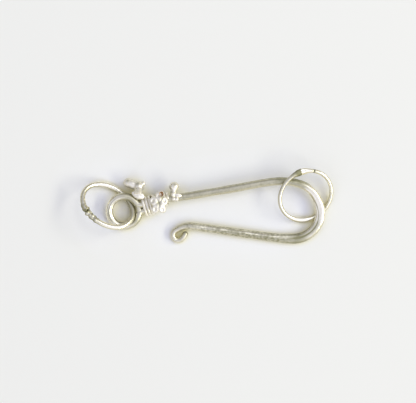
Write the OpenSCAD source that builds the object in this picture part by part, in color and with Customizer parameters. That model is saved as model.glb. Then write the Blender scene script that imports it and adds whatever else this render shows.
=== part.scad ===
// Hook and eye clasp of silver wire, lying on a flat surface.
// X runs along the clasp from the chain end to the eye, Y across it and Z up. Millimetres.
// The hook is one bent wire. It lies on the low sides of two jump rings, which thread it at
// each end, and leans toward its lower leg. The wire's other end, the tail, closes the
// eyelet and lies along the neck, and a fine wire binds the two. A blossom and two small
// sprigs of balls sit on the binding.

/* [Hook wire] */
// Diameter of the wire round the eyelet and along the neck
neck_wire = 1.2; // [1.1:0.02:1.22]
// Diameter of the tail that closes the eyelet and lies along the neck
tail_wire = 0.9; // [0.7:0.02:0.92]
// Diameter of the wire along the stem
stem_wire = 1.28; // [1:0.05:1.35]
// Width of the wire across the hammered bend
bend_width = 1.55; // [1.2:0.05:1.7]
// Thickness of the wire in the hammered bend
bend_thickness = 1.1; // [0.8:0.05:1.15]
// Diameter of the lower leg where it leaves the bend
leg_wire = 1.3; // [1:0.05:1.4]
// Diameter of the lower leg where it meets the curl
leg_end_wire = 1.15; // [0.9:0.05:1.25]
// Diameter of the wire in the curled tip
tip_wire = 0.86; // [0.6:0.02:0.95]

/* [Hook shape] */
// Radius of the eyelet, to the middle of its wire
eyelet_radius = 2.4; // [2.36:0.02:2.44]
// Radius of the sharp turns from the eyelet into the neck and into the tail
neck_turn_radius = 0.8; // [0.75:0.05:0.85]
// Slope of the neck and tail, whose middle line runs through the middle of the eyelet
neck_slope = 13.5; // [13:0.25:13.75]
// Length of the straight neck under the binding
neck_length = 1.8; // [1.7:0.05:1.9]
// Length of the straight tail under the binding
tail_length = 1.9; // [1.5:0.05:2]
// Length of the stem from the neck to the shoulder
stem_length = 16.5; // [16.3:0.1:16.7]
// Length of the straight lower leg
leg_length = 13.2; // [13:0.1:13.4]

/* [Jump rings] */
// Diameter of the wire of the chain ring
chain_ring_wire = 0.8; // [0.6:0.02:0.82]
// Diameter of the wire of the eye ring
eye_ring_wire = 0.64; // [0.5:0.02:0.66]
// Half length of both rings, to the middle of the wire
ring_half_length = 4.36; // [4.3:0.02:4.4]
// Half width of the chain ring, to the middle of the wire
chain_ring_half_width = 3.38; // [3.3:0.02:3.46]
// Tilt of the chain ring where it leans over the eyelet
chain_ring_tilt = 30; // [28:1:32]
// Half width of the eye ring, to the middle of the wire
eye_ring_half_width = 4; // [3.96:0.02:4.04]
// Tilt of the eye ring where it lies over the stem
eye_ring_tilt = 21.5; // [21.5:0.5:23]
// Width of the chain ring at its lumpy seam
chain_seam_width = 1; // [0.8:0.05:1.1]
// Width of the eye ring where its ends meet and are hammered
eye_seam_width = 1.05; // [0.65:0.05:1.1]

/* [Neck ornament] */
// Diameter of the fine binding wire
binding_wire_width = 0.5; // [0.3:0.02:0.5]
// Width of the blossom across its petals
blossom_width = 3.7; // [3.4:0.1:4]
// Share of that width which it measures along the neck
blossom_squeeze = 0.84; // [0.8:0.02:1]
// Number of petals
petals = 5; // [4:1:6]
// Diameter of the large ball on the sprig beside the eyelet
eyelet_ball = 1.8; // [1.4:0.05:1.85]
// Diameter of the smaller ball beside it
eyelet_small_ball = 1.45; // [1.2:0.05:1.5]
// Diameter of the ball on the sprig beside the stem
stem_ball = 1.6; // [1.2:0.05:1.65]
// Diameter of the granules on both sprigs
granule = 0.75; // [0.65:0.05:0.75]
// Height of the sprig beside the eyelet, from its lowest ball to the top of its leaf
eyelet_sprig_height = 2.18; // [2.17:0.01:2.2]
// Height of the sprig beside the stem, from its ball to the top of its granules
stem_sprig_height = 1.87; // [1.86:0.01:1.9]

/* [Placing] */
// Lean of the hook toward its lower leg
hook_lean = 8.9; // [8.8:0.05:9]
// Rise of the hook toward the bend
hook_rise = 0.3; // [0.25:0.05:0.35]
// Height of the hook's plane at the middle of the clasp
hook_height = 1.39; // [1.38:0.01:1.4]

/* [Hidden] */

// Gap kept between pieces that touch on the real clasp
clear = 0.05;
// Sides of each kind of wire, and degrees of turn between two rings of points
hook_sides = 16;
ring_sides = 12;
binding_sides = 10;
hook_step = 8;
hook_stride = 1.6;
tip_step = 22.5;
binding_step = 22.5;
ring_points = 60;
ball_facets = 24;
granule_facets = 16;
leaf_facets = 28;
leaf_blunt = 0.12;

// Places seen from above, with the clasp's middle at the origin
eyelet_middle = [-13.24, -0.82];
chain_ring_middle = [-15.84, 0.12];
chain_ring_bearing = -34;
eye_ring_middle = [15.8, 1.72];
eye_ring_bearing = 35.5;
blossom_middle = [-7.66, 0.5];
blossom_height = 2.86;

// Columns of a row in a tube's path: middle of the wire, side that faces up, width, thickness
AT = 0;
UP = 1;
WIDE = 2;
THICK = 3;

// Columns of a row in the hook's run: length, turn to the left, and the wire's width and
// thickness at the end of the row
LENGTH = 0;
TURN = 1;
END_WIDE = 2;
END_THICK = 3;

// Half of the bundle of neck and tail, and the distance of each from its middle line
bundle_half = (neck_wire + clear + tail_wire) / 2;
neck_offset = bundle_half - neck_wire / 2;
tail_offset = bundle_half - tail_wire / 2;

// Where a wire at an offset from the middle line leaves its sharp turn, and the angle that
// the turn takes from the eyelet's full circle
turn_reach = eyelet_radius + neck_turn_radius;
function turn_start(offset) = sqrt(pow(turn_reach, 2) - pow(offset + neck_turn_radius, 2));
function turn_lag(offset) = asin((offset + neck_turn_radius) / turn_reach);
function arc_length(radius, angle) = radius * angle * PI / 180;
eyelet_sweep = 360 - turn_lag(neck_offset) - turn_lag(tail_offset);
neck_sweep = 90 - turn_lag(neck_offset);
tail_sweep = 90 - turn_lag(tail_offset);

hook_run = [
    // tail, the sharp turn into the eyelet, the eyelet and the sharp turn out of it
    [tail_length, 0, tail_wire, tail_wire],
    [arc_length(neck_turn_radius, tail_sweep), tail_sweep, neck_wire, neck_wire],
    [arc_length(eyelet_radius, eyelet_sweep), -eyelet_sweep, neck_wire, neck_wire],
    [arc_length(neck_turn_radius, neck_sweep), neck_sweep, neck_wire, neck_wire],
    // neck and stem
    [neck_length, 0, neck_wire, neck_wire],
    [1, -5.5, neck_wire, neck_wire],
    [stem_length, 3, stem_wire, stem_wire],
    [2.7, -7, stem_wire, stem_wire],
    // shoulder and the hammered bend
    [4, -23, stem_wire, stem_wire],
    [1.8, -27, stem_wire, stem_wire],
    [3.2, -33, bend_width, bend_thickness],
    [4.3, -59, bend_width, bend_thickness],
    [3, -40, bend_width, bend_thickness],
    [3.3, -10, leg_wire, leg_wire],
    // lower leg and the curled tip
    [leg_length, 0, leg_end_wire, leg_end_wire],
    [3, 47, tip_wire, tip_wire],
    [2.7, 184, tip_wire, tip_wire],
    [1.4, 36, tip_wire, tip_wire]
];

function unit(v) = v / norm(v);
function blend(a, b, t) = a + (b - a) * t;
function smooth(t) = let (s = min(max(t, 0), 1)) s * s * (3 - 2 * s);

// A place and heading, moved along an arc of the given length and turn
function along_arc(from, length, turn) =
    let (
        chord = abs(turn) < 0.01 ? length : length * sin(turn / 2) / (turn * PI / 360),
        bearing = from[2] + turn / 2
    )
    [from[0] + chord * cos(bearing), from[1] + chord * sin(bearing), from[2] + turn];

// Length of a run before its given row
function run_before(run, row) = row == 0 ? 0 : run_before(run, row - 1) + run[row - 1][LENGTH];

// Place, heading, width and thickness at a distance along a run
function run_at(run, from, wide, thick, distance, row = 0) =
    distance <= run[row][LENGTH] || row == len(run) - 1
        ? let (
            t = distance / run[row][LENGTH],
            spot = along_arc(from, distance, run[row][TURN] * t)
        )
        concat(spot, [blend(wide, run[row][END_WIDE], t), blend(thick, run[row][END_THICK], t)])
        : run_at(run, along_arc(from, run[row][LENGTH], run[row][TURN]), run[row][END_WIDE],
            run[row][END_THICK], distance - run[row][LENGTH], row + 1);

// Tube of an oval section along a path of rows [AT, UP, WIDE, THICK]
module tube(path, sides, closed = false) {
    count = len(path);
    last = count - 1;
    corners = [
        for (i = [0 : last])
            let (
                behind = closed ? path[(i + last) % count][AT] : path[max(i - 1, 0)][AT],
                ahead = closed ? path[(i + 1) % count][AT] : path[min(i + 1, last)][AT],
                along = unit(ahead - behind),
                up = unit(path[i][UP] - along * (path[i][UP] * along)),
                side = cross(up, along)
            )
            for (k = [0 : sides - 1])
                path[i][AT] + side * path[i][WIDE] / 2 * cos(360 * k / sides)
                    + up * path[i][THICK] / 2 * sin(360 * k / sides)
    ];
    walls = [
        for (i = [0 : closed ? last : last - 1], k = [0 : sides - 1])
            let (
                a = i * sides + k,
                b = i * sides + (k + 1) % sides,
                c = (i + 1) % count * sides + (k + 1) % sides,
                d = (i + 1) % count * sides + k
            )
            each [[a, c, b], [a, d, c]]
    ];
    ends = closed ? [] : [
        [for (k = [0 : sides - 1]) k],
        [for (k = [0 : sides - 1]) last * sides + sides - 1 - k]
    ];
    polyhedron(corners, concat(walls, ends), convexity = 10);
}

// A place in the frame of the neck's middle line, seen from above
function beside_neck(along, aside) = [
    eyelet_middle[0] + along * cos(neck_slope) - aside * sin(neck_slope),
    eyelet_middle[1] + along * sin(neck_slope) + aside * cos(neck_slope)
];

// Start of the hook's wire, at the cut end of the tail
hook_start = concat(
    beside_neck(turn_start(tail_offset) + tail_length, -tail_offset), [neck_slope + 180]);
hook_length = run_before(hook_run, len(hook_run));
function hook_at(distance) = run_at(hook_run, hook_start, tail_wire, tail_wire, distance);

// Distances along the hook's wire, closer together where it turns
hook_stops = [
    for (row = [0 : len(hook_run) - 1])
        let (
            length = hook_run[row][LENGTH],
            steps = ceil(max(length / hook_stride, abs(hook_run[row][TURN]) / hook_step))
        )
        for (k = [0 : steps - 1]) run_before(hook_run, row) + length * k / steps
];

// The rounded tip, in columns: distance back from its end, share of the wire's width
BACK = 0;
SHARE = 1;
tip_round = [
    for (angle = [0 : tip_step : 90 - tip_step]) [tip_wire / 2 * (1 - sin(angle)), cos(angle)]
];

// Turns a shape of the hook's flat plane to the way that the hook lies
module lying() {
    translate([0, 0, hook_height]) rotate([hook_lean, -hook_rise, 0]) children();
}

module hook() {
    body = [
        for (distance = hook_stops)
            if (distance < hook_length - tip_wire / 2)
                let (spot = hook_at(distance))
                [[spot[0], spot[1], 0], [0, 0, 1], spot[3], spot[4]]
    ];
    tip = [
        for (row = tip_round)
            let (spot = hook_at(hook_length - row[BACK]))
            [[spot[0], spot[1], 0], [0, 0, 1], spot[3] * row[SHARE], spot[4] * row[SHARE]]
    ];
    color("silver") lying() tube(concat(body, tip), hook_sides);
}

// The binding wire's run along the neck, in columns: length covered, turns made, and whether
// it holds both neck and tail (1) or the stem alone (0) at the end of the row
COVERED = 0;
TURNS = 1;
BOTH = 2;
binding_run = [
    [1.7, 3.25, 1],
    [1.75, 0.75, 0],
    [0.8, 1.5, 0]
];
// Row of the hook's run that is its neck, and the binding's start on it
neck_row = 4;
binding_lead = 0.15;
binding_start = run_before(hook_run, neck_row) + binding_lead;
binding_first_angle = -100;
// How sharply a turn passes from the neck's round to the tail's
binding_crossing = 4;
held_apart = neck_offset + tail_offset;
neck_hold = neck_wire / 2 + clear + binding_wire_width / 2;
tail_hold = tail_wire / 2 + clear + binding_wire_width / 2;

// Length and turns of the binding before its given row
function binding_before(row) =
    row == 0
        ? [0, 0]
        : binding_before(row - 1) + [binding_run[row - 1][COVERED], binding_run[row - 1][TURNS]];

module binding_wire() {
    rows = len(binding_run);
    path = [
        for (row = [0 : rows - 1])
            let (
                before = binding_before(row),
                steps = ceil(binding_run[row][TURNS] * 360 / binding_step),
                final = row == rows - 1 ? steps : steps - 1,
                both_before = row == 0 ? 1 : binding_run[row - 1][BOTH]
            )
            for (k = [0 : final])
                let (
                    t = k / steps,
                    both = blend(both_before, binding_run[row][BOTH], t),
                    spot = hook_at(binding_start + before[COVERED] + binding_run[row][COVERED] * t),
                    angle = binding_first_angle
                        + 360 * (before[TURNS] + binding_run[row][TURNS] * t),
                    toward_tail = both
                        * (1 - min(max(binding_crossing * cos(angle), -1), 1)) / 2,
                    aside = [-sin(spot[2]), cos(spot[2]), 0],
                    out = aside * cos(angle) + [0, 0, sin(angle)],
                    hold = blend(neck_hold, tail_hold, toward_tail)
                )
                [
                    [spot[0], spot[1], 0] - aside * held_apart * toward_tail + out * hold,
                    out, binding_wire_width, binding_wire_width
                ]
    ];
    color("gainsboro") lying() tube(path, binding_sides);
}

// The blossom's own sizes: steps from its middle to its edge and spokes round it
blossom_steps = 8;
petal_spokes = 12;
blossom_spokes = petal_spokes * petals;
// Reach of the cleft between two petals and of the underside, as shares of the petal's
petal_cleft = 0.72;
petal_roundness = 0.6;
underside_share = 0.94;
// Height of a petal's dome, its share in the cleft, and how far out its crown lies
petal_dome = 0.42;
cleft_dome = 0.35;
petal_crown = 0.8;
petal_droop = 0.05;
petal_thickness = 0.45;
petal_bearing = 90;
// The sunk cup in the middle
cup_share = 0.3;
cup_depth = 0.4;

// How far a bearing lies within a petal: 1 along its middle, 0 in the cleft beside it
function petal_share(bearing) = abs(cos((bearing - petal_bearing) * petals / 2));
function blossom_edge(bearing) =
    blossom_width / 2 * blend(petal_cleft, 1, pow(petal_share(bearing), petal_roundness));
// Height of the petals' top at a share of the way from the middle to the edge
function blossom_top(share, bearing) =
    let (reach = share * blossom_edge(bearing))
    petal_dome * sin(180 * pow(share, petal_crown)) * blend(cleft_dome, 1, petal_share(bearing))
        - cup_depth * (1 - smooth(share / cup_share)) - petal_droop * reach * reach;

module blossom() {
    count = blossom_spokes;
    top_layer = [
        for (step = [1 : blossom_steps], k = [0 : count - 1])
            let (bearing = 360 * k / count, share = step / blossom_steps,
                reach = share * blossom_edge(bearing))
            [reach * cos(bearing), reach * sin(bearing), petal_thickness + blossom_top(share, bearing)]
    ];
    low_layer = [
        for (step = [1 : blossom_steps], k = [0 : count - 1])
            let (bearing = 360 * k / count, share = step / blossom_steps,
                reach = share * underside_share * blossom_edge(bearing))
            [reach * cos(bearing), reach * sin(bearing), -petal_droop * reach * reach]
    ];
    low = len(top_layer);
    middle = 2 * low;
    points = concat(top_layer, low_layer, [[0, 0, petal_thickness - cup_depth], [0, 0, 0]]);
    faces = [
        for (step = [0 : blossom_steps - 2], k = [0 : count - 1])
            let (a = step * count + k, b = step * count + (k + 1) % count, c = b + count, d = a + count)
            each [[a, b, c], [a, c, d], [low + a, low + c, low + b], [low + a, low + d, low + c]],
        for (k = [0 : count - 1])
            let (a = k, b = (k + 1) % count, edge = (blossom_steps - 1) * count)
            each [[middle, b, a], [middle + 1, low + a, low + b],
                [edge + a, edge + b, low + edge + b], [edge + a, low + edge + b, low + edge + a]]
    ];
    squeezed = [for (point = points) [point[0] * blossom_squeeze, point[1], point[2]]];
    color("whitesmoke") translate([blossom_middle[0], blossom_middle[1], blossom_height])
        polyhedron(squeezed, faces, convexity = 6);
}

// A ball, a straight stalk between two places and a flattened leaf
module ball(at, width) {
    translate(at) sphere(d = width, $fn = width > granule ? ball_facets : granule_facets);
}

module stalk(from, to, width) {
    run = to - from;
    translate(from) rotate([0, acos(run[2] / norm(run)), atan2(run[1], run[0])])
        cylinder(d = width, h = norm(run), $fn = granule_facets);
}

// The leaf is what four large balls have in common: two beside it and two above and below.
// Their reach makes a pointed oval that is thin at its ends.
function lens_radius(half_length, half_width) =
    (pow(half_length, 2) + pow(half_width, 2)) / (2 * half_width);

module leaf(at, size, bearing) {
    beside = lens_radius(size[0] / 2, size[1] / 2);
    above = lens_radius(size[0] / 2 + leaf_blunt, size[2] / 2);
    translate(at) rotate([0, 0, bearing]) intersection() {
        intersection_for (side = [-1, 1])
            translate([0, side * (beside - size[1] / 2), 0]) sphere(beside, $fn = leaf_facets);
        intersection_for (side = [-1, 1])
            translate([0, 0, side * (above - size[2] / 2)]) sphere(above, $fn = leaf_facets);
    }
}

// Balls of the sprig beside the eyelet, in columns: place, diameter
PLACE = 0;
WIDTH = 1;
eyelet_balls = [
    [[-10.94, 3.18, 1.55], eyelet_ball],
    [[-12.6, 3.76, 1.35], eyelet_small_ball],
    [[-10.2, 3.6, 1.8], granule]
];
eyelet_stalk_width = 1.3;
eyelet_leaf_middle = [-10.98, 1.78, 2.44];
eyelet_leaf_size = [2.3, 1.3, 0.7];
eyelet_leaf_stalk_width = 0.8;
eyelet_leaf_bearing = -20;

module eyelet_sprig() {
    large = eyelet_balls[0][PLACE];
    color("whitesmoke") resize([0, 0, eyelet_sprig_height]) union() {
        for (row = eyelet_balls) ball(row[PLACE], row[WIDTH]);
        stalk(large, eyelet_balls[1][PLACE], eyelet_stalk_width);
        stalk(large, eyelet_leaf_middle, eyelet_leaf_stalk_width);
        leaf(eyelet_leaf_middle, eyelet_leaf_size, eyelet_leaf_bearing);
    }
}

// Balls of the sprig beside the stem, in the same columns
stem_balls = [
    [[-5.23, 3.13, 1.9], stem_ball],
    [[-5.4, 1.84, 2.4], granule],
    [[-5.3, 1.18, 2.6], granule],
    [[-4.85, 1.11, 2.6], granule]
];
stem_stalk_width = 0.75;
stem_leaf_middle = [-4.65, 1.76, 2.5];
stem_leaf_size = [1.4, 0.75, 0.65];
stem_leaf_bearing = -8;

module stem_sprig() {
    color("whitesmoke") resize([0, 0, stem_sprig_height]) union() {
        for (row = stem_balls) ball(row[PLACE], row[WIDTH]);
        stalk(stem_balls[0][PLACE], stem_balls[1][PLACE], stem_stalk_width);
        leaf(stem_leaf_middle, stem_leaf_size, stem_leaf_bearing);
    }
}

// Angles round the rings where their seams lie, and how far a seam reaches to each side
chain_seam_angle = 242;
eye_seam_angle = 64;
seam_reach = 24;

// A jump ring that is a little out of round. It leans on its lowest point.
// Its seam is as wide as asked, at the given angle round the ring.
module jump_ring(middle, bearing, half_width, tilt, wire, seam_width, seam_angle) {
    path = [
        for (k = [0 : ring_points - 1])
            let (
                angle = 360 * k / ring_points,
                off = abs((angle - seam_angle + 540) % 360 - 180),
                wide = blend(seam_width, wire, smooth(off / seam_reach))
            )
            [[ring_half_length * cos(angle), half_width * sin(angle), 0], [0, 0, 1], wide, wire]
    ];
    low = half_width * abs(sin(tilt));
    translate([middle[0], middle[1], wire / 2 + low]) rotate([0, 0, bearing])
        rotate([tilt, 0, 0]) tube(path, ring_sides, closed = true);
}

module chain_ring() {
    color("lightgray")
        jump_ring(chain_ring_middle, chain_ring_bearing, chain_ring_half_width,
            -chain_ring_tilt, chain_ring_wire, chain_seam_width, chain_seam_angle);
}

module eye_ring() {
    color("lightgray")
        jump_ring(eye_ring_middle, eye_ring_bearing, eye_ring_half_width,
            eye_ring_tilt, eye_ring_wire, eye_seam_width, eye_seam_angle);
}

hook();
binding_wire();
blossom();
eyelet_sprig();
stem_sprig();
chain_ring();
eye_ring();
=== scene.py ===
# Hook and eye clasp of silver wire, dressed over its solids and laid on a pale surface.
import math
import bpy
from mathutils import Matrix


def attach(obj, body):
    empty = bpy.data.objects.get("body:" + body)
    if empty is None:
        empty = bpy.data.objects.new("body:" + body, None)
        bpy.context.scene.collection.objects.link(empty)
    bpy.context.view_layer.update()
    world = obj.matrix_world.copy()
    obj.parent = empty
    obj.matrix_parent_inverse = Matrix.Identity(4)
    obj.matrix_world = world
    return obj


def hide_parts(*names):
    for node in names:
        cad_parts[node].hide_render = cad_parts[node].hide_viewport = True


bl_info = {
    "name": "Hook and Eye Clasp",
    "version": (1, 0, 0),
    "blender": (4, 5, 0),
    "location": "3D View > Sidebar > Clasp",
    "description": "Models a wire hook with a bound eyelet, ornament and two jump rings",
    "category": "Add Mesh",
}

import bpy
import numpy as np
from bpy.props import FloatProperty, FloatVectorProperty, IntProperty, PointerProperty
from mathutils import Vector, noise
from mathutils.kdtree import KDTree

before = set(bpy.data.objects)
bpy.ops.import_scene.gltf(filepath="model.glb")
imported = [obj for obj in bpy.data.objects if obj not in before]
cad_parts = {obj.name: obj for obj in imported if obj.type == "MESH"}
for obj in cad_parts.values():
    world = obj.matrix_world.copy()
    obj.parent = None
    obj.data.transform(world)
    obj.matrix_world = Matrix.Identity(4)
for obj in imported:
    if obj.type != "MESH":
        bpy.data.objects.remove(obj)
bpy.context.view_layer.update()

BODY = "root"
# Pieces are modelled in millimetres and brought to metres when they are finished
MM, TO_MM = 0.001, 1000

# The eyelet's middle seen from above, its radius, the radius of the turns that lead into it,
# the way that the neck points and the length of the tail beside it
EYELET_MIDDLE = (-13.24, -0.82)
EYELET_RADIUS, NECK_TURN, NECK_SLOPE, TAIL_LENGTH = 2.4, 0.8, 13.5, 1.9
# How the hook lies: its lean toward the lower leg, its rise toward the bend and its height
HOOK_LEAN, HOOK_RISE, HOOK_HEIGHT = 8.9, 0.3, 1.39
# Room between the neck, the tail and the wire that binds them
CLEAR = 0.05


class ClaspSizes(bpy.types.PropertyGroup):
    """Sizes of the clasp's wires and ornament"""

    neck_wire: FloatProperty(
        name="Neck wire", description="Diameter round the eyelet and along the neck",
        default=0.0012, min=0.0005, max=0.002, unit="LENGTH")
    tail_wire: FloatProperty(
        name="Tail wire", description="Diameter of the tail along the neck",
        default=0.0009, min=0.0005, max=0.002, unit="LENGTH")
    stem_wire: FloatProperty(
        name="Stem wire", description="Diameter of the stem",
        default=0.00128, min=0.0005, max=0.002, unit="LENGTH")
    bend_width: FloatProperty(
        name="Bend width", description="Width across the hammered bend",
        default=0.00155, min=0.0005, max=0.0025, unit="LENGTH")
    bend_thickness: FloatProperty(
        name="Bend thickness", description="Thickness of the hammered bend",
        default=0.0011, min=0.0005, max=0.0025, unit="LENGTH")
    leg_wire: FloatProperty(
        name="Leg wire", description="Diameter of the lower leg at the bend",
        default=0.0013, min=0.0005, max=0.002, unit="LENGTH")
    leg_end_wire: FloatProperty(
        name="Leg end", description="Diameter of the lower leg at the curl",
        default=0.00115, min=0.0005, max=0.002, unit="LENGTH")
    tip_wire: FloatProperty(
        name="Tip wire", description="Diameter in the curled tip",
        default=0.00086, min=0.0004, max=0.002, unit="LENGTH")
    binding_wire: FloatProperty(
        name="Binding wire", description="Diameter of the fine wire round the neck",
        default=0.0005, min=0.0002, max=0.001, unit="LENGTH")
    chain_ring_wire: FloatProperty(
        name="Chain ring wire", description="Diameter of the chain ring's wire",
        default=0.0008, min=0.0003, max=0.0015, unit="LENGTH")
    eye_ring_wire: FloatProperty(
        name="Eye ring wire", description="Diameter of the eye ring's wire",
        default=0.00064, min=0.0003, max=0.0015, unit="LENGTH")
    petals: IntProperty(
        name="Petals", description="Number of petals on the blossom", default=5, min=3, max=8)


class ClaspFinish(bpy.types.PropertyGroup):
    """Colours of the silver and of the surface under it"""

    silver: FloatVectorProperty(
        name="Silver", description="Colour of the bright metal",
        default=(0.82, 0.785, 0.63), subtype="COLOR", min=0, max=1)
    bright_silver: FloatVectorProperty(
        name="Bright silver", description="Colour of the blossom and the sprigs",
        default=(0.96, 0.92, 0.8), subtype="COLOR", min=0, max=1)
    # Tarnish is also the colour that the painted shade on the silver mixes toward
    tarnish_and_painted_shade: FloatVectorProperty(
        name="Tarnish", description="Colour of the dull metal in hollows",
        default=(0.3, 0.29, 0.17), subtype="COLOR", min=0, max=1)
    cup: FloatVectorProperty(
        name="Cup", description="Colour of the burnt metal in the blossom's cups",
        default=(0.52, 0.31, 0.13), subtype="COLOR", min=0, max=1)
    surface: FloatVectorProperty(
        name="Surface", description="Colour of the surface that the clasp lies on",
        default=(0.835, 0.84, 0.797), subtype="COLOR", min=0, max=1)
    # Painted shadow tint, where the clasp hides the key
    shaded_surface: FloatVectorProperty(
        name="Surface in the shade", description="Tint of the surface where the light is hidden",
        default=(0.94, 0.95, 1), subtype="COLOR", min=0, max=1)
    # Painted warm contact shade close under the wires
    painted_contact_shade: FloatVectorProperty(
        name="Surface beside the silver", description="Tint of the surface close under the wires",
        default=(1, 0.91, 0.44), subtype="COLOR", min=0, max=1)


def deselect_all():
    if bpy.context.object and bpy.context.object.mode != "OBJECT":
        bpy.ops.object.mode_set(mode="OBJECT")
    bpy.ops.object.select_all(action="DESELECT")


def pick(*pieces):
    """Selects the given pieces alone and makes the first one active"""
    deselect_all()
    for piece in pieces:
        piece.select_set(True)
    bpy.context.view_layer.objects.active = pieces[0]
    return pieces[0]


def apply_place(piece):
    """Writes a piece's place, turn and size into its mesh"""
    pick(piece)
    bpy.ops.object.transform_apply(location=True, rotation=True, scale=True)
    return piece


def apply_modifier(piece, kind, **values):
    pick(piece)
    bpy.ops.object.modifier_add(type=kind)
    modifier = piece.modifiers[-1]
    for name, value in values.items():
        setattr(modifier, name, value)
    bpy.ops.object.modifier_apply(modifier=modifier.name)


def join(name, pieces):
    """Puts pieces into one object, whose parts keep their own points"""
    piece = pick(*pieces)
    bpy.ops.object.join()
    piece.name = piece.data.name = name
    return piece


def set_weight(piece, name, values):
    """Stores one number for each of the piece's points"""
    data = piece.data
    layer = data.attributes.get(name) or data.attributes.new(name, "FLOAT", "POINT")
    layer.data.foreach_set("value", np.asarray(values, np.float32))


def weight_of(piece, name):
    values = np.zeros(len(piece.data.vertices), np.float32)
    piece.data.attributes[name].data.foreach_get("value", values)
    return values


def points_of(piece):
    co = np.zeros(len(piece.data.vertices) * 3)
    piece.data.vertices.foreach_get("co", co)
    return co.reshape(-1, 3)


def put_points(piece, co):
    piece.data.vertices.foreach_set("co", np.asarray(co, float).ravel())
    piece.data.update()


def normals_of(piece):
    out = np.zeros(len(piece.data.vertices) * 3)
    piece.data.vertices.foreach_get("normal", out)
    return out.reshape(-1, 3)


def smooth_step(t):
    """Rises from 0 to 1 as t does, slowly at both ends"""
    s = np.clip(t, 0, 1)
    return s * s * (3 - 2 * s)


def hill(values, middle, reach):
    """1 at the middle, falling smoothly to almost nothing at twice the reach"""
    return np.exp(-((values - middle) / reach) ** 2)


# Edges that turn by more than this many degrees, such as a cut end's, stay sharp
SHARP_FROM = 50


def finish_piece(piece, material, node):
    """Brings a piece to metres, gives it its finish and lets it stand for its solid"""
    piece.scale = (MM, MM, MM)
    apply_place(piece)
    bpy.ops.object.shade_smooth_by_angle(angle=math.radians(SHARP_FROM))
    piece.data.materials.clear()
    piece.data.materials.append(material)
    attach(piece, BODY)
    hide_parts(node)


def work_surface(piece, depth, size, where=None, seed=0.0):
    """Moves the points of a piece a little in or out, as hand work leaves them"""
    co, up = points_of(piece), normals_of(piece)
    share = np.ones(len(co)) if where is None else where
    shift = Vector((seed, 2.3 * seed, 5.1 * seed))
    moved = np.array([noise.noise(Vector(c) / size + shift) for c in co])
    put_points(piece, co + up * (moved * share * depth)[:, None])


def hammer(piece, depth, size, where, seed=0.0):
    """Leaves shallow hammer facets on the points that the shares name"""
    co, up = points_of(piece), normals_of(piece)
    shift = Vector((seed, seed, seed))
    far = np.array([
        noise.voronoi(Vector(c) / size + shift)[0][0] if w > 0.01 else 0.5
        for c, w in zip(co, where)
    ])
    put_points(piece, co + up * ((far - 0.5) * where * depth)[:, None])


def draw_wire(name, stations, detail, twist="Z_UP"):
    """A round wire along stations of (place, diameter), with a mesh ring at each station and
    both its ends filled"""
    deselect_all()
    bpy.ops.curve.primitive_nurbs_path_add(radius=1, location=(0, 0, 0))
    curve = bpy.context.object.data
    curve.splines.clear()
    spline = curve.splines.new("POLY")
    spline.points.add(len(stations) - 1)
    for point, (place, width) in zip(spline.points, stations):
        point.co = (*place, 1)
        point.radius = width / 2
    spline.use_smooth = True
    curve.dimensions = "3D"
    curve.twist_mode = twist
    curve.bevel_depth = 1
    curve.bevel_resolution = detail
    pick(bpy.context.object)
    bpy.ops.object.convert(target="MESH")
    bpy.ops.object.mode_set(mode="EDIT")
    bpy.ops.mesh.select_all(action="SELECT")
    bpy.ops.mesh.fill_holes(sides=0)
    bpy.ops.mesh.select_all(action="SELECT")
    bpy.ops.mesh.normals_make_consistent(inside=False)
    bpy.ops.object.mode_set(mode="OBJECT")
    piece = bpy.context.object
    piece.name = piece.data.name = name
    return piece


def wire_frame(piece, stations):
    """Number of each point's station, and its offset from the wire's middle there"""
    co = points_of(piece)
    sides = len(co) // len(stations)
    row = np.minimum(np.arange(len(co)) // sides, len(stations) - 1)
    middle = np.array([place for place, _ in stations], float)
    return row, co - middle[row]


def mark_wire(piece, stations, along):
    """Stores how far along the wire each point lies and its way round it, and gives the number
    of its station"""
    row, offset = wire_frame(piece, stations)
    middle = np.array([place for place, _ in stations], float)
    run = np.roll(middle, -1, 0) - np.roll(middle, 1, 0)
    run[0], run[-1] = middle[1] - middle[0], middle[-1] - middle[-2]
    run /= np.linalg.norm(run, axis=1)[:, None]
    side = np.cross((0, 0, 1), run)
    side /= np.maximum(np.linalg.norm(side, axis=1), 1e-6)[:, None]
    up = np.cross(run, side)
    length = np.maximum(np.linalg.norm(offset, axis=1), 1e-6)
    set_weight(piece, "along", np.asarray(along, float)[row])
    set_weight(piece, "across", (offset * side[row]).sum(1) / length)
    set_weight(piece, "above", (offset * up[row]).sum(1) / length)
    return row


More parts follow.
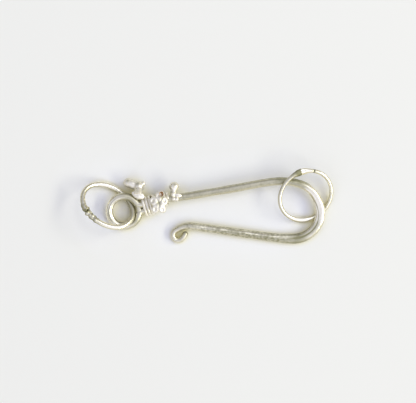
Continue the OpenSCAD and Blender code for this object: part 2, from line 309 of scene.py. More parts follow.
def hook_run(sizes):
    """The hook's wire as straight and round runs, with the place and heading of the tail's cut
    end and the distance between the middles of neck and tail"""
    neck, tail, stem, wide, thick, leg, leg_end, tip = (TO_MM * size for size in (
        sizes.neck_wire, sizes.tail_wire, sizes.stem_wire, sizes.bend_width,
        sizes.bend_thickness, sizes.leg_wire, sizes.leg_end_wire, sizes.tip_wire))
    half = (neck + CLEAR + tail) / 2
    neck_off, tail_off = half - neck / 2, half - tail / 2
    reach = EYELET_RADIUS + NECK_TURN
    neck_lag = math.degrees(math.asin((neck_off + NECK_TURN) / reach))
    tail_lag = math.degrees(math.asin((tail_off + NECK_TURN) / reach))
    sweep = 360 - neck_lag - tail_lag
    # Columns: length, turn to the left, and width and thickness at the run's end
    rows = [
        (TAIL_LENGTH, 0, tail, tail),
        (NECK_TURN * math.radians(90 - tail_lag), 90 - tail_lag, neck, neck),
        (EYELET_RADIUS * math.radians(sweep), -sweep, neck, neck),
        (NECK_TURN * math.radians(90 - neck_lag), 90 - neck_lag, neck, neck),
        (1.8, 0, neck, neck),
        (1, -5.5, neck, neck),
        (16.5, 3, stem, stem),
        (2.7, -7, stem, stem),
        (4, -23, stem, stem),
        (1.8, -27, stem, stem),
        (3.2, -33, wide, thick),
        (4.3, -59, wide, thick),
        (3, -40, wide, thick),
        (3.3, -10, leg, leg),
        (13.2, 0, leg_end, leg_end),
        (3, 47, tip, tip),
        (2.7, 184, tip, tip),
        (1.4, 36, tip, tip),
    ]
    start = math.sqrt(reach ** 2 - (tail_off + NECK_TURN) ** 2) + TAIL_LENGTH
    c, s = math.cos(math.radians(NECK_SLOPE)), math.sin(math.radians(NECK_SLOPE))
    place = (EYELET_MIDDLE[0] + start * c + tail_off * s,
             EYELET_MIDDLE[1] + start * s - tail_off * c, NECK_SLOPE + 180)
    return rows, place, neck_off + tail_off


def along_arc(place, length, turn):
    """The place and heading at the end of a run that turns evenly"""
    chord = length
    if abs(turn) > 0.01:
        chord = length * math.sin(math.radians(turn / 2)) / math.radians(turn / 2)
    way = math.radians(place[2] + turn / 2)
    return (place[0] + chord * math.cos(way), place[1] + chord * math.sin(way), place[2] + turn)


def run_at(rows, place, start_width, distance):
    """Place, heading, width and thickness at a distance along the hook's wire"""
    wide = thick = start_width
    for number, (length, turn, end_wide, end_thick) in enumerate(rows):
        if distance <= length or number == len(rows) - 1:
            t = distance / length
            spot = along_arc(place, distance, turn * t)
            return (*spot, wide + (end_wide - wide) * t, thick + (end_thick - thick) * t)
        place = along_arc(place, length, turn)
        wide, thick = end_wide, end_thick
        distance -= length


def lay_down(piece):
    """Turns a piece of the hook's flat plane to the way that the hook lies"""
    piece.rotation_euler = (math.radians(HOOK_LEAN), math.radians(-HOOK_RISE), 0)
    piece.location = (0, 0, HOOK_HEIGHT)
    return apply_place(piece)


# The solder's stations, half its sweep in degrees, its least width and how much it swells
SOLDER_STEPS, SOLDER_SWEEP, SOLDER_WIDTH, SOLDER_SWELL = 28, 44, 0.35, 0.75


def model_solder():
    """The solder that closes the eyelet's circle where its wire turns into the neck"""
    stations, along = [], []
    reach = EYELET_RADIUS + 0.02
    for k in range(SOLDER_STEPS + 1):
        share = 2 * k / SOLDER_STEPS - 1
        angle = math.radians(NECK_SLOPE + SOLDER_SWEEP * share)
        place = Vector((EYELET_MIDDLE[0] + reach * math.cos(angle),
                        EYELET_MIDDLE[1] + reach * math.sin(angle), -0.06))
        stations.append((place, SOLDER_WIDTH + SOLDER_SWELL * (1 - share ** 2)))
        along.append(20 + 0.15 * k)
    piece = draw_wire("solder", stations, detail=10)
    mark_wire(piece, stations, along)
    set_weight(piece, "dull_and_painted_light", np.full(len(piece.data.vertices), 0.12))
    return piece


# The power of the hammered bend's section, where an ellipse's is 2, and how deep the
# drawplate's marks are
BEND_SQUARENESS, GROOVE_DEPTH = 2.6, 0.06
# Stations on the hook's wire are no further apart than this, nor by more than these degrees
STATION_LENGTH, STATION_TURN = 0.16, 3
# Stretches of the hook's wire, in millimetres from the tail's cut end. Columns: where one
# starts and the length over which it comes in, where it ends and the length over which it fades
STRETCHES = {
    "stem": (20, 3, 42, 2.5),
    "struck": (42, 3, 57, 3),
    "bend_painted_highlight": (43, 2, 52, 2.5),
    "grooved": (43.5, 2, 54, 3),
    "bend": (44, 4, 60, 3),
    "leg": (54.5, 3, 72, 2),
}


def stretch(along, name):
    """1 within a stretch of the hook's wire and 0 outside it"""
    start, coming, end, fading = STRETCHES[name]
    return smooth_step((along - start) / coming) * (1 - smooth_step((along - end) / fading))


def hook_stations(sizes):
    """The hook's wire as stations, with each one's distance from the tail's cut end and its
    thickness as a share of its width"""
    rows, place, _ = hook_run(sizes)
    tail, tip = TO_MM * sizes.tail_wire, TO_MM * sizes.tip_wire
    total = sum(row[0] for row in rows)
    distances = []
    before = 0
    for length, turn, _, _ in rows:
        steps = math.ceil(max(length / STATION_LENGTH, abs(turn) / STATION_TURN))
        distances += [before + length * k / steps for k in range(steps)]
        before += length
    distances = [d for d in distances if d < total - tip / 2]
    shrink = [1.0] * len(distances)
    # The tail's cut end is broken by a narrow bevel and the tip is rounded
    distances[:1] = [0, 0.03, 0.08]
    shrink[:1] = [0.82, 0.94, 1]
    for k in range(7):
        angle = math.radians(15 * k)
        distances.append(total - tip / 2 * (1 - math.sin(angle)))
        shrink.append(max(math.cos(angle), 0.2))
    spots = [run_at(rows, place, tail, d) for d in distances]
    stations = [((x, y, 0), wide * s) for (x, y, _, wide, _), s in zip(spots, shrink)]
    flat = np.array([thick / wide for _, _, _, wide, thick in spots])
    return stations, np.array(distances), flat


def round_eyelet(piece):
    """Each point's bearing and distance from the eyelet's middle, seen from above"""
    co = points_of(piece)
    x, y = co[:, 0] - EYELET_MIDDLE[0], co[:, 1] - EYELET_MIDDLE[1]
    return np.degrees(np.arctan2(y, x)), np.hypot(x, y)


def flatten_wire(piece, along, flat):
    """Thins the wire as the hammer has, which leaves the bend's section squarer"""
    sideways = np.minimum(np.abs(weight_of(piece, "across")), 0.98)
    square = (1 - sideways ** BEND_SQUARENESS) ** (1 / BEND_SQUARENESS) / np.sqrt(1 - sideways ** 2)
    co = points_of(piece)
    co[:, 2] *= flat * (1 + (square - 1) * stretch(along, "struck"))
    put_points(piece, co)


def cut_grooves(piece, along, bearing):
    """Cuts the drawplate's marks, one along the bend and two round the eyelet's far side, and
    gives each point's share in them"""
    across = weight_of(piece, "across")
    bend_mark = 0.45 * smooth_step((along - 45) / 6) - 0.68
    groove = stretch(along, "grooved") * hill(across, bend_mark, 0.18)
    far_side = (along < 20) * hill((bearing + 20) % 360, 195, 60)
    for mark in (0.15, -0.42):
        groove += far_side * hill(across, mark, 0.17)
    groove *= weight_of(piece, "above") > 0
    co = points_of(piece)
    co[:, 2] -= GROOVE_DEPTH * groove
    put_points(piece, co)
    return groove


def hook_dull_and_painted_light(piece, along):
    """How dull the hook is, with flecks on its stem and leg, a dull leg and tip, and painted light:
    painted shade along the stem's upper side, the leg's lower side and middle and the lower bend,
    and a painted highlight on the bend"""
    co, across = points_of(piece), weight_of(piece, "across")
    stem, leg = stretch(along, "stem"), stretch(along, "leg")
    tip = hill(along, along.max(), 0.5)
    # Painted shade darkens the stem's upper side and middle, more toward the bend
    stem_shade_strength = 0.3 + 0.4 * smooth_step((along - 36) / 5)
    stem_painted_shade = stem * np.maximum(stem_shade_strength * smooth_step((across + 0.15) / 0.3),
                                  0.6 * hill(across, -0.15, 0.3))
    # Painted shade darkens the leg's lower side and middle
    leg_painted_shade = leg * (1 - 0.8 * smooth_step((along - 66) / 5)) * (
        0.26 * smooth_step((across + 0.2) / 0.4) + 0.4 * hill(across, 0, 0.3))
    # Painted shade darkens the lower bend
    low_bend_painted_shade = smooth_step((co[:, 0] - 12) / 3) * smooth_step((-1.8 - co[:, 1]) / 1.2)
    flecks = np.array([noise.noise(Vector(c) / 0.35) for c in co])
    flecks = np.clip(flecks * 0.9, -0.2, 0.25) * (leg + 0.25 * stem)
    # A painted highlight brightens the bend
    bend_painted_highlight = stretch(along, "bend_painted_highlight")
    return (0.6 * tip + 0.2 * leg + leg_painted_shade + stem_painted_shade + 0.75 * low_bend_painted_shade + flecks
            - 0.7 * bend_painted_highlight)


def model_hook(sizes):
    """The hook from the tail's cut end to the curled tip, with its hammer and draw marks"""
    stations, distances, flat = hook_stations(sizes)
    piece = draw_wire("hook_wire", stations, detail=24)
    row = mark_wire(piece, stations, distances)
    along = distances[row]
    flatten_wire(piece, along, flat[row])
    bearing, _ = round_eyelet(piece)
    work_surface(piece, 0.035, 2.6, seed=1)
    struck = 0.8 * stretch(along, "leg") + 0.15 * stretch(along, "bend")
    hammer(piece, 0.05, 0.9, struck, seed=2)
    groove = cut_grooves(piece, along, bearing)
    # Painted shade darkens the grooves
    set_weight(piece, "dull_and_painted_light", hook_dull_and_painted_light(piece, along) + 1.4 * groove ** 2)
    work_surface(piece, 0.012, 0.5, seed=3)
    piece = join("hook_wire", [piece, model_solder()])
    bearing, far = round_eyelet(piece)
    # Painted shade darkens the eyelet's top and lower right, and a painted highlight brightens its
    # left side
    shade = 0.55 * (far < 3.3) * hill(bearing, 72, 34) + 0.4 * (far < 3.6) * hill(bearing, -38, 30)
    eyelet_painted_highlight = 0.4 * (far < 3.3) * hill((bearing + 20) % 360, 180, 70)
    set_weight(piece, "dull_and_painted_light", weight_of(piece, "dull_and_painted_light") + shade - eyelet_painted_highlight)
    return lay_down(piece)


# Columns: length covered, turns made, and whether both neck and tail are held at the row's end
BINDING_RUN = ((1.7, 3.25, 1), (1.75, 0.75, 0), (0.8, 1.5, 0))
# The neck's row in the hook's run, how far along it the binding starts, the angle that it
# starts at, how steeply it passes from neck to tail, and the degrees between its stations
NECK_ROW, BINDING_LEAD, BINDING_START, BINDING_CROSSING, BINDING_STEP = 4, 0.15, -100, 4, 7.5


def model_binding(sizes):
    """The fine wire wound round neck and tail together, and then round the neck alone"""
    rows, place, apart = hook_run(sizes)
    neck, tail, wire = (TO_MM * size for size in (
        sizes.neck_wire, sizes.tail_wire, sizes.binding_wire))
    neck_hold, tail_hold = (held / 2 + CLEAR + wire / 2 for held in (neck, tail))
    start = sum(row[0] for row in rows[:NECK_ROW]) + BINDING_LEAD
    stations, along = [], []
    covered = turned = 0
    both_before = 1
    for number, (length, turns, both_after) in enumerate(BINDING_RUN):
        steps = math.ceil(turns * 360 / BINDING_STEP)
        last = number == len(BINDING_RUN) - 1
        for k in range(steps + (1 if last else 0)):
            t = k / steps
            both = both_before + (both_after - both_before) * t
            x, y, heading, _, _ = run_at(rows, place, tail, start + covered + length * t)
            angle = math.radians(BINDING_START + 360 * (turned + turns * t))
            swing = min(max(BINDING_CROSSING * math.cos(angle), -1), 1)
            toward = both * (1 - swing) / 2
            way = math.radians(heading)
            aside = Vector((-math.sin(way), math.cos(way), 0))
            out = aside * math.cos(angle) + Vector((0, 0, math.sin(angle)))
            hold = neck_hold + (tail_hold - neck_hold) * toward
            stations.append((Vector((x, y, 0)) - aside * apart * toward + out * hold, wire))
            along.append(len(along) * 0.1)
        covered, turned, both_before = covered + length, turned + turns, both_after
    piece = draw_wire("binding_coil", stations, detail=6, twist="MINIMUM")
    mark_wire(piece, stations, along)
    work_surface(piece, 0.02, 0.8, seed=4)
    # Painted shade darkens the low turns
    set_weight(piece, "dull_and_painted_light", np.clip(0.3 - points_of(piece)[:, 2] / 0.9, 0, 1))
    return lay_down(piece)


def press_dish(piece, middle, depth, reach):
    """Sinks a round dish into the top of a piece"""
    co = points_of(piece)
    far = np.linalg.norm(co[:, :2] - np.array(middle)[:2], axis=1)
    co[:, 2] -= np.where(co[:, 2] > middle[2], depth * hill(far, 0, reach), 0)
    put_points(piece, co)


def add_ball(place, width, segments=32):
    deselect_all()
    bpy.ops.mesh.primitive_uv_sphere_add(
        segments=segments, ring_count=segments // 2, radius=width / 2, location=place)
    return apply_place(bpy.context.object)


# A petal's half length, half width and half height, and how far its middle stands out and up
PETAL_HALVES, PETAL_REACH, PETAL_RISE = (0.95, 0.74, 0.42), 0.9, 0.4


def model_petal(bearing, seed):
    """A spoon-shaped petal with a raised edge, its base at the blossom's middle"""
    petal = add_ball((0, 0, 0), 2, 40)
    petal.scale = PETAL_HALVES
    apply_place(petal)
    co = points_of(petal)
    co[:, 1] *= 1 - 0.3 * smooth_step(-co[:, 0] / PETAL_HALVES[0])
    put_points(petal, co)
    press_dish(petal, (0.3, 0, 0), 0.24, 0.3)
    work_surface(petal, 0.07, 0.8, seed=seed)
    way = math.radians(bearing)
    petal.rotation_euler = (0, math.radians(5), way)
    petal.location = (math.cos(way) * PETAL_REACH, math.sin(way) * PETAL_REACH, PETAL_RISE)
    apply_place(petal)
    for mark in ("dull_and_painted_light", "burnt"):
        set_weight(petal, mark, np.zeros(len(petal.data.vertices)))
    return petal


def model_cup(place, width, wall, depth):
    """A small open cup: a short cylinder whose top is inset and sunk"""
    deselect_all()
    bpy.ops.mesh.primitive_cylinder_add(
        vertices=32, radius=width / 2, depth=depth, location=place)
    cup = apply_place(bpy.context.object)
    bpy.ops.object.mode_set(mode="EDIT")
    bpy.ops.mesh.select_all(action="DESELECT")
    bpy.ops.object.mode_set(mode="OBJECT")
    for face in cup.data.polygons:
        face.select = face.normal.z > 0.9
    bpy.ops.object.mode_set(mode="EDIT")
    bpy.ops.mesh.inset(thickness=wall)
    bpy.ops.mesh.extrude_region_move(
        TRANSFORM_OT_translate={"value": (0, 0, -depth * 0.7)})
    bpy.ops.transform.resize(value=(0.8, 0.8, 1))
    bpy.ops.object.mode_set(mode="OBJECT")
    apply_modifier(cup, "BEVEL", width=wall * 0.45, segments=3, limit_method="ANGLE")
    apply_modifier(cup, "SUBSURF", levels=1, render_levels=1)
    co = points_of(cup)
    far = np.linalg.norm(co[:, :2] - np.array(place)[:2], axis=1)
    inside = (far < width / 2 - wall * 0.75) & (co[:, 2] > place[2] - depth * 0.4)
    for mark in ("dull_and_painted_light", "burnt"):
        set_weight(cup, mark, inside)
    return cup


def melt_marked(piece, grain):
    """Makes one body of a piece's parts, whose points keep the marks of the nearest old one"""
    co = points_of(piece)
    marks = {name: weight_of(piece, name) for name in ("dull_and_painted_light", "burnt")}
    tree = KDTree(len(co))
    for number, place in enumerate(co):
        tree.insert(place, number)
    tree.balance()
    apply_modifier(piece, "REMESH", mode="VOXEL", voxel_size=grain)
    nearest = [tree.find(place)[1] for place in points_of(piece)]
    for name, values in marks.items():
        set_weight(piece, name, values[nearest])
    apply_modifier(piece, "SMOOTH", factor=0.5, iterations=2)


# The blossom's middle and foot, and how far it is squeezed along the hook
BLOSSOM_PLACE, BLOSSOM_SQUEEZE = (-7.66, 0.5, 2.86), 0.84


def model_blossom(sizes):
    """Rounded petals round a small cup, with a larger burnt cup at one side"""
    parts = [
        model_petal(90 + 360 * k / sizes.petals, seed=10 + k) for k in range(sizes.petals)
    ]
    parts.append(model_cup((0, 0, 0.36), 0.62, 0.12, 0.46))
    parts.append(model_cup((0.52, 1.46, 0.62), 0.95, 0.1, 0.7))
    piece = join("blossom_petals", parts)
    co = points_of(piece)
    # Painted shade darkens the petals' low parts and the blossom's middle
    low = 0.6 * smooth_step((0.6 - co[:, 2]) / 0.35)
    middle = 0.8 * hill(np.linalg.norm(co[:, :2], axis=1), 0, 0.5)
    # The flame has also dulled the metal between the burnt cup and the middle
    beside = 0.8 * hill(np.hypot((co[:, 0] - 0.6) / 0.36, (co[:, 1] - 0.85) / 0.5), 0, 1)
    set_weight(piece, "dull_and_painted_light", np.max([weight_of(piece, "dull_and_painted_light"), low, middle, beside], axis=0))
    melt_marked(piece, 0.035)
    piece.scale = (BLOSSOM_SQUEEZE, 1, 1)
    piece.location = BLOSSOM_PLACE
    return apply_place(piece)


def add_leaf(middle, size, bearing):
    """A pointed leaf, rounded above, with a groove along its middle"""
    leaf = add_ball((0, 0, 0), 2, 36)
    co = points_of(leaf)
    girth = np.sqrt(np.maximum(1 - co[:, 0] ** 2, 0))
    point = np.where(girth > 1e-4, np.maximum(girth, 1e-4) ** 0.5, 1)
    co[:, 1] *= point
    co[:, 2] *= point
    co[:, 2] *= 1 - 0.35 * hill(co[:, 1], 0, 0.2) * (co[:, 2] > 0)
    put_points(leaf, co * np.array(size) / 2)
    leaf.rotation_euler = (0, 0, math.radians(bearing))
    leaf.location = middle
    return apply_place(leaf)


def add_stalk(start, end, width):
    deselect_all()
    run = Vector(end) - Vector(start)
    bpy.ops.mesh.primitive_cylinder_add(
        vertices=24, radius=width / 2, depth=run.length,
        location=(Vector(start) + Vector(end)) / 2,
        rotation=run.to_track_quat("Z", "Y").to_euler())
    return apply_place(bpy.context.object)


def fuse(name, pieces, spots, seed):
    """Melts balls, stalks and leaves into one body, as granules flow together, paints shade on the
    sides that turn away from above and darkens the given spots on them"""
    piece = join(name, pieces)
    apply_modifier(piece, "REMESH", mode="VOXEL", voxel_size=0.045)
    apply_modifier(piece, "SMOOTH", factor=0.5, iterations=3)
    work_surface(piece, 0.05, 0.7, seed=seed)
    work_surface(piece, 0.015, 0.25, seed=seed + 1)
    co, up = points_of(piece), normals_of(piece)
    # Painted shade darkens the sides and undersides
    dull_and_painted_light = 0.4 * smooth_step((0.84 - up[:, 2]) / 0.6)
    for spot in spots:
        far = np.linalg.norm(co[:, :2] - np.array(spot), axis=1)
        dull_and_painted_light = np.maximum(dull_and_painted_light, 0.65 * hill(far, 0, 0.3))
    set_weight(piece, "dull_and_painted_light", dull_and_painted_light)
    return piece


def model_eyelet_sprig():
    large, small, leaf = (-10.94, 3.18, 1.55), (-12.6, 3.76, 1.35), (-10.98, 1.78, 2.44)
    parts = [
        add_ball(large, 1.8), add_ball(small, 1.52), add_ball((-10.2, 3.6, 1.8), 0.75),
        add_stalk(large, small, 1.45), add_stalk(large, leaf, 1.4),
        add_leaf(leaf, (2.3, 1.3, 0.7), -20),
    ]
    return fuse("eyelet_sprig_balls", parts, ((-12.6, 4.0), (-11.0, 3.55)), 20)


def model_stem_sprig():
    head, foot = (-5.23, 3.13, 1.9), (-5.4, 1.84, 2.4)
    parts = [
        add_ball(head, 1.6), add_ball(foot, 0.75), add_ball((-5.3, 1.18, 2.6), 0.75),
        add_ball((-4.85, 1.11, 2.6), 0.75), add_stalk(head, foot, 1),
        add_leaf((-4.65, 1.76, 2.5), (1.4, 0.75, 0.65), -8),
    ]
    return fuse("stem_sprig_balls", parts, ((-5.15, 3.35), (-5.75, 2.2)), 30)


# Columns: middle, bearing, half width, tilt, wire's property and the angle of the seam
RINGS = {
    "chain_ring": ((-15.84, 0.12), -34, 3.38, -30, "chain_ring_wire", 240),
    "eye_ring": ((15.8, 1.72), 35.5, 4.0, 21.5, "eye_ring_wire", 41),
}
# Where the rings have been worked, and their painted light. Columns: angle round the ring,
# reach to each side, width, thickness, roughness, and how dull the place is before and after its
# middle, where a number under 0 is a painted highlight
WORKED_AND_PAINTED_LIGHT = {
    "chain_ring": ((241, 30, 0.95, 0.8, 0.3, 0.1, 0.1), (264, 14, 0.86, 0.8, 0.17, 0.3, 0.3),
                   # Painted highlights on the chain ring's top and bottom, and painted shade on its
                   # right side where it passes under the eyelet
                   (122, 45, 0.94, 0.8, 0, -0.4, -0.4), (310, 50, 0.92, 0.8, 0, -0.4, -0.4),
                   (40, 42, 0.8, 0.8, 0, 0.45, 0.45)),
    # A painted highlight and painted shade on the two sides of the eye ring's flattened patch, and
    # a painted highlight at its bottom
    "eye_ring": ((69, 26, 1.15, 0.62, 0.05, -0.9, 1.1), (228, 34, 0.86, 0.6, 0, -0.4, -0.4)),
}
# A ring's half length, about how long its wire is, and the steps that its wire is drawn in
RING_HALF_LENGTH, RING_ROUND, RING_STEPS = 4.36, 27, 240
# Half the seam's opening in degrees, how much the wire narrows at it and over how far
SEAM_GAP, SEAM_NARROWING, SEAM_REACH = 0.5, 0.14, 1.3


def model_ring(name, sizes):
    """A ring of wire with its seam, worked places and painted light, tilted to the way that it lies
    """
    middle, bearing, half_width, tilt, wire_name, seam = RINGS[name]
    wire = TO_MM * getattr(sizes, wire_name)
    share = (SEAM_GAP + (360 - 2 * SEAM_GAP) * np.arange(RING_STEPS + 1) / RING_STEPS) / 360
    angles = seam + 360 * share
    from_seam = 360 * np.minimum(share, 1 - share)
    widths = wire * (1 - SEAM_NARROWING * hill(from_seam, 0, SEAM_REACH))
    stations = [
        (Vector((RING_HALF_LENGTH * math.cos(angle), half_width * math.sin(angle), 0)), width)
        for angle, width in zip(np.radians(angles), widths)
    ]
    piece = draw_wire(name + "_wire", stations, detail=10)
    mark_wire(piece, stations, RING_ROUND * share)
    co = points_of(piece)
    row, offset = wire_frame(piece, stations)
    dull_and_painted_light = 0.9 * hill(from_seam, 0, 2.5)[row]
    lumps = np.zeros(len(co))
    for worked, reach, width, thickness, roughness, before, after in WORKED_AND_PAINTED_LIGHT[name]:
        past = ((angles - worked + 180) % 360 - 180)[row]
        near = 1 - smooth_step(np.abs(past) / reach)
        co[:, :2] += offset[:, :2] * ((width / wire - 1) * near)[:, None]
        co[:, 2] *= 1 + (thickness / wire - 1) * near
        lumps += near * roughness
        dull_and_painted_light += near ** 0.5 * np.where(past > 0, after, before)
    put_points(piece, co)
    work_surface(piece, 0.02, 1.8, seed=40)
    pits = np.array([noise.noise(Vector(c) / 0.5) for c in points_of(piece)])
    work_surface(piece, 1, 0.45, lumps, seed=41)
    dull_and_painted_light += 0.75 * smooth_step(lumps * 4) * smooth_step(pits * 3)
    set_weight(piece, "dull_and_painted_light", dull_and_painted_light)
    lean = math.radians(tilt)
    piece.rotation_euler = (lean, 0, math.radians(bearing))
    piece.location = (*middle, wire / 2 + half_width * abs(math.sin(lean)))
    return apply_place(piece)


def add_node(tree, kind, **settings):
    node = tree.nodes.new("ShaderNode" + kind)
    for name, value in settings.items():
        setattr(node, name, value)
    return node


def feed(tree, node, values):
    """Links each of a node's named or numbered sockets to another one, or sets its value"""
    for label, value in values.items():
        socket = node.inputs[label]
        if isinstance(value, bpy.types.NodeSocket):
            tree.links.new(value, socket)
        else:
            socket.default_value = value
    return node


def math_node(tree, kind, a, b):
    return feed(tree, add_node(tree, "Math", operation=kind), {0: a, 1: b}).outputs[0]


def map_range(tree, value, low, high, to_low=0.0, to_high=1.0):
    node = feed(tree, add_node(tree, "MapRange"), {
        "Value": value, "From Min": low, "From Max": high, "To Min": to_low, "To Max": to_high})
    return node.outputs["Result"]


def mix_colours(tree, factor, a, b, clamp=True):
    node = add_node(tree, "Mix", data_type="RGBA", clamp_factor=clamp)
    return feed(tree, node, {"Factor": factor, "A": a, "B": b}).outputs["Result"]


def silver_group():
    """Marks of drawing and wear on silver, with painted shade and painted highlights, from a
    piece's own coordinates
    """
    name = "silver_marks_and_painted_light"
    if name in bpy.data.node_groups:
        return bpy.data.node_groups[name]
    group = bpy.data.node_groups.new(name, "ShaderNodeTree")
    sockets = (
        ("Place", "INPUT", "Vector"), ("Streak Place", "INPUT", "Vector"),
        ("Bright", "INPUT", "Color"), ("Dull And Shaded", "INPUT", "Color"),
        ("Dullness And Painted Light", "INPUT", "Float"), ("Sides", "INPUT", "Float"),
        ("Bloom", "INPUT", "Float"), ("Gloss", "INPUT", "Float"), ("Spread", "INPUT", "Float"),
        ("Colour", "OUTPUT", "Color"), ("Roughness", "OUTPUT", "Float"),
        ("Height", "OUTPUT", "Float"),
    )
    for label, way, kind in sockets:
        group.interface.new_socket(name=label, in_out=way, socket_type="NodeSocket" + kind)
    given = group.nodes.new("NodeGroupInput").outputs

    def noise_node(place, scale, detail, roughness=0.5):
        node = feed(group, add_node(group, "TexNoise"), {
            "Vector": given[place], "Scale": scale, "Detail": detail, "Roughness": roughness})
        return node.outputs["Fac"]

    def add(a, b):
        return math_node(group, "ADD", a, b)

    def times(a, b):
        return math_node(group, "MULTIPLY", a, b)

    patches = map_range(group, noise_node("Place", 1.1, 4, 0.6), 0.42, 0.68)
    specks = map_range(group, noise_node("Place", 7.0, 3, 0.6), 0.6, 0.72)
    streaks = noise_node("Streak Place", 1.0, 3, 0.6)
    # The mask adds patches of real dullness to the dull weights, which hold painted shade and
    # painted highlights, and to the painted shade on a wire's sides
    mask = add(add(times(patches, given["Bloom"]), given["Dullness And Painted Light"]), given["Sides"])
    mask = add(mask, times(specks, times(given["Bloom"], 0.6)))
    # Where a painted highlight puts the mask under 0, it makes the silver brighter than its colour
    mask = feed(group, add_node(group, "Clamp"), {"Value": mask, "Min": -0.3}).outputs[0]
    rough = times(map_range(group, streaks, 0.3, 0.7, -0.5, 0.5), given["Spread"])
    feed(group, group.nodes.new("NodeGroupOutput"), {
        "Colour": mix_colours(group, mask, given["Bright"], given["Dull And Shaded"], clamp=False),
        "Roughness": add(add(rough, given["Gloss"]), times(mask, 0.22)),
        "Height": add(times(streaks, 0.35), times(noise_node("Place", 2.6, 2), 0.9)),
    })
    return group


# How fast the draw marks change along, across and up a wire
STREAK_RUN = (("along", 0.9), ("across", 5), ("above", 5))


def silver(name, finish, gloss, spread, bloom, bump, wire=True, burnt=False, colour=None,
           sides=0.6, frost=0.0):
    """A silver finish: gloss is its roughness, spread how much that changes, bloom how much of
    it has dulled in patches, bump how deep its marks are, sides how much painted shade darkens
    a wire's sides, and frost how white its skin is from the fire"""
    material = bpy.data.materials.new(name)
    material.use_nodes = True
    tree = material.node_tree

    def weight(label):
        return add_node(tree, "Attribute", attribute_name=label).outputs["Fac"]

    place = add_node(tree, "VectorMath", operation="SCALE")
    feed(tree, place, {0: add_node(tree, "TexCoord").outputs["Object"], "Scale": TO_MM})
    marks = add_node(tree, "Group", node_tree=silver_group())
    feed(tree, marks, {
        "Place": place.outputs[0], "Dullness And Painted Light": weight("dull_and_painted_light"), "Bloom": bloom,
        "Bright": (*(colour or finish.silver), 1), "Dull And Shaded": (*finish.tarnish_and_painted_shade, 1),
        "Gloss": gloss, "Spread": spread,
    })
    if wire:
        way = feed(tree, add_node(tree, "CombineXYZ"), {
            number: math_node(tree, "MULTIPLY", weight(label), factor)
            for number, (label, factor) in enumerate(STREAK_RUN)})
        # Painted shade darkens a wire's sides and leaves its top bright
        feed(tree, marks, {
            "Streak Place": way.outputs[0],
            "Sides": map_range(tree, weight("above"), 0.5, 0.05, 0, sides)})
    else:
        feed(tree, marks, {"Streak Place": place.outputs[0]})
    colour = marks.outputs["Colour"]
    if burnt:
        colour = mix_colours(tree, weight("burnt"), colour, (*finish.cup, 1))
    relief = feed(tree, add_node(tree, "Bump"), {
        "Strength": bump, "Distance": 0.03 * MM, "Height": marks.outputs["Height"]})
    feed(tree, tree.nodes["Principled BSDF"], {
        "Base Color": colour, "Metallic": 1 - frost, "Roughness": marks.outputs["Roughness"],
        "Normal": relief.outputs["Normal"]})
    return material


class CLASP_OT_hook(bpy.types.Operator):
    """Model the hook: eyelet, neck, stem, hammered bend, lower leg and curled tip"""
    bl_idname = "clasp.hook"
    bl_label = "Hook"
    bl_options = {"REGISTER", "UNDO"}

    def execute(self, context):
        finish = context.scene.clasp_finish
        material = silver("hook_silver", finish, gloss=0.3, spread=0.16, bloom=0.22, bump=0.35)
        finish_piece(model_hook(context.scene.clasp_sizes), material, "hook")
        return {"FINISHED"}


class CLASP_OT_binding(bpy.types.Operator):
    """Model the fine wire that binds the neck and the tail"""
    bl_idname = "clasp.binding"
    bl_label = "Binding"
    bl_options = {"REGISTER", "UNDO"}

    def execute(self, context):
        finish = context.scene.clasp_finish
        material = silver(
            "binding_silver", finish, gloss=0.34, spread=0.12, bloom=0.15, bump=0.3,
            colour=finish.bright_silver, sides=0.15, frost=0.38)
        piece = model_binding(context.scene.clasp_sizes)
        finish_piece(piece, material, "binding_wire")
        return {"FINISHED"}


class CLASP_OT_blossom(bpy.types.Operator):
    """Model the blossom of spoon-shaped petals round a dark cup"""
    bl_idname = "clasp.blossom"
    bl_label = "Blossom"
    bl_options = {"REGISTER", "UNDO"}

    def execute(self, context):
        finish = context.scene.clasp_finish
        material = silver(
            "blossom_silver", finish, gloss=0.34, spread=0.1, bloom=0.08, bump=0.3,
            colour=finish.bright_silver, wire=False, burnt=True, frost=0.34)
        piece = model_blossom(context.scene.clasp_sizes)
        finish_piece(piece, material, "blossom")
        return {"FINISHED"}


class CLASP_OT_sprigs(bpy.types.Operator):
    """Model the two sprigs of fused balls, granules and leaves"""
    bl_idname = "clasp.sprigs"
    bl_label = "Sprigs"
    bl_options = {"REGISTER", "UNDO"}

    def execute(self, context):
        finish = context.scene.clasp_finish
        material = silver(
            "sprig_silver", finish, gloss=0.3, spread=0.1, bloom=0.12, bump=0.35,
            colour=finish.bright_silver, wire=False, frost=0.32)
        finish_piece(model_eyelet_sprig(), material, "eyelet_sprig")
        finish_piece(model_stem_sprig(), material, "stem_sprig")
        return {"FINISHED"}


class CLASP_OT_rings(bpy.types.Operator):
    """Model the chain ring and the eye ring with their seams"""
    bl_idname = "clasp.rings"
    bl_label = "Jump rings"
    bl_options = {"REGISTER", "UNDO"}

    def execute(self, context):
        finish = context.scene.clasp_finish
        material = silver("ring_silver", finish, gloss=0.27, spread=0.1, bloom=0.1, bump=0.25)
        for name in RINGS:
            piece = model_ring(name, context.scene.clasp_sizes)
            finish_piece(piece, material, name)
        return {"FINISHED"}


# Places and sizes of the lights are in metres, and the key is a long soft bar
KEY_PLACE = (1.09, -0.15, 0.8)
# Columns: name, place, length, width, power and colour
LIGHTS = (
    ("key", KEY_PLACE, 1.6, 0.28, 10.6, (1, 0.985, 0.83)),
    ("fill", (0.09, 0.09, 0.29), 0.1, 0.1, 0.08, (1, 1, 1)),
)


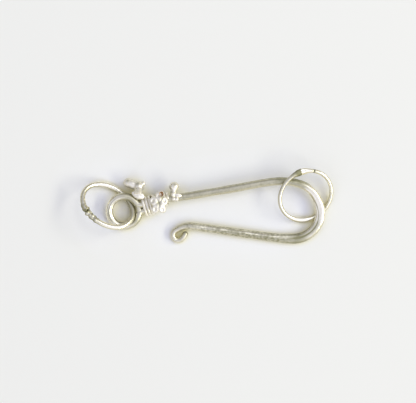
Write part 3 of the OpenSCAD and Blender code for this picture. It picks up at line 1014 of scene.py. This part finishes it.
def add_area(name, place, length, width, power, colour):
    """A soft light that faces the clasp, with its length level"""
    deselect_all()
    bpy.ops.object.light_add(type="AREA", location=place)
    light = bpy.context.object
    light.name = name
    light.data.shape = "RECTANGLE"
    light.data.size = length
    light.data.size_y = width
    light.data.energy = power
    light.data.color = colour
    light.rotation_euler = (-Vector(place)).to_track_quat("-Z", "Y").to_euler()


# The tent's bands. Columns: sine of the elevation, colour
TENT = (
    (0.0, (0.44, 0.39, 0.24)), (0.3, (0.41, 0.38, 0.28)), (0.5, (0.57, 0.57, 0.64)),
    (0.8, (0.74, 0.76, 0.92)), (0.93, (0.6, 0.6, 0.72)), (0.975, (0.5, 0.5, 0.54)),
    (1.0, (0.46, 0.46, 0.48)),
)
# The way in which the tent grows darker, and its strength at the bright and the dark side
TENT_DARK_WAY, TENT_STRENGTHS = (-0.65, 0.76, 0), (1.5, 0.72)


def studio_world():
    """A pale tent that is darker straight above, low at its foot, and on the side that the
    stem's upper edge faces"""
    world = bpy.data.worlds.new("studio")
    bpy.context.scene.world = world
    world.use_nodes = True
    tree = world.node_tree
    way = add_node(tree, "TexCoord").outputs["Generated"]
    split = feed(tree, add_node(tree, "SeparateXYZ"), {0: way})
    ramp = feed(tree, add_node(tree, "ValToRGB"), {0: split.outputs["Z"]})
    toward = feed(tree, add_node(tree, "VectorMath", operation="DOT_PRODUCT"), {
        0: way, 1: TENT_DARK_WAY})
    feed(tree, tree.nodes["Background"], {
        "Color": ramp.outputs["Color"],
        "Strength": map_range(tree, toward.outputs["Value"], -0.6, 0.85, *TENT_STRENGTHS)})
    stops = ramp.color_ramp.elements
    while len(stops) < len(TENT):
        stops.new(0.5)
    for stop, (at, colour) in zip(stops, TENT):
        stop.position = at
        stop.color = (*colour, 1)


def surface_colour(tree, finish):
    """The surface's colour: a cool painted shadow where the clasp hides the key, and a warm painted
    contact shade right beside the silver
    """
    # Columns: what the surface faces, how far it looks, the range that counts, colour
    shades = (
        (KEY_PLACE, 6, 0.55, 1, finish.shaded_surface),
        ((0, 0, 1), 2.4, 0.15, 0.84, finish.painted_contact_shade),
    )
    colour, lit = (*finish.surface, 1), None
    for toward, reach, low, high, shade in shades:
        toward = Vector(toward).normalized()
        facing = feed(tree, add_node(tree, "CombineXYZ"), dict(enumerate(toward)))
        open_sky = feed(tree, add_node(tree, "AmbientOcclusion"), {
            "Distance": reach * MM, "Normal": facing.outputs[0]})
        share = map_range(tree, open_sky.outputs["AO"], low, high)
        if lit:
            # The warm painted contact shade shows only inside the key's painted shadow
            share = math_node(tree, "MAXIMUM", share, lit)
        colour, lit = mix_colours(tree, share, (*shade, 1), colour), share
    return colour


# The camera's lens and sensor in millimetres, the photograph's width in pixels and the
# millimetres that a pixel covers, and the place that the camera looks down on
LENS, SENSOR, FRAME_WIDE, PIXEL = 200, 36, 416, 0.16
FRAME_MIDDLE = (0.18, 0.76, 1.5)


class CLASP_OT_stage(bpy.types.Operator):
    """Lay the pale surface, set the lights and place the camera straight above"""
    bl_idname = "clasp.stage"
    bl_label = "Stage"
    bl_options = {"REGISTER", "UNDO"}

    def execute(self, context):
        deselect_all()
        bpy.ops.mesh.primitive_plane_add(size=1.2, location=(0, 0, 0))
        floor = context.object
        floor.name = "surface"
        material = bpy.data.materials.new("surface_paper")
        material.use_nodes = True
        tree = material.node_tree
        feed(tree, tree.nodes["Principled BSDF"], {
            "Base Color": surface_colour(tree, context.scene.clasp_finish),
            "Roughness": 0.9, "Specular IOR Level": 0.1})
        floor.data.materials.append(material)
        for light in LIGHTS:
            add_area(*light)
        studio_world()
        x, y, z = (MM * value for value in FRAME_MIDDLE)
        away = FRAME_WIDE * PIXEL * MM * LENS / SENSOR
        deselect_all()
        bpy.ops.object.camera_add(location=(x, y, z + away), rotation=(0, 0, 0))
        camera = context.object
        camera.data.lens = LENS
        camera.data.sensor_width = SENSOR
        camera.data.clip_start = 0.01
        context.scene.camera = camera
        context.scene.view_settings.view_transform = "Standard"
        return {"FINISHED"}


STEPS = ("hook", "binding", "blossom", "sprigs", "rings", "stage")


class CLASP_PT_panel(bpy.types.Panel):
    """Sizes, colours and the steps that model the clasp"""
    bl_idname = "CLASP_PT_panel"
    bl_label = "Hook and Eye Clasp"
    bl_space_type = "VIEW_3D"
    bl_region_type = "UI"
    bl_category = "Clasp"

    def draw(self, context):
        layout = self.layout
        for group in (context.scene.clasp_sizes, context.scene.clasp_finish):
            column = layout.column(align=True)
            for name in group.__annotations__:
                column.prop(group, name)
        for step in STEPS:
            layout.operator("clasp." + step)


CLASSES = (
    ClaspSizes, ClaspFinish, CLASP_OT_hook, CLASP_OT_binding, CLASP_OT_blossom,
    CLASP_OT_sprigs, CLASP_OT_rings, CLASP_OT_stage, CLASP_PT_panel,
)


def register():
    for cls in CLASSES:
        bpy.utils.register_class(cls)
    bpy.types.Scene.clasp_sizes = PointerProperty(type=ClaspSizes)
    bpy.types.Scene.clasp_finish = PointerProperty(type=ClaspFinish)


def unregister():
    del bpy.types.Scene.clasp_finish
    del bpy.types.Scene.clasp_sizes
    for cls in reversed(CLASSES):
        bpy.utils.unregister_class(cls)


def main():
    register()
    for step in STEPS:
        getattr(bpy.ops.clasp, step)()


if __name__ == "__main__":
    main()
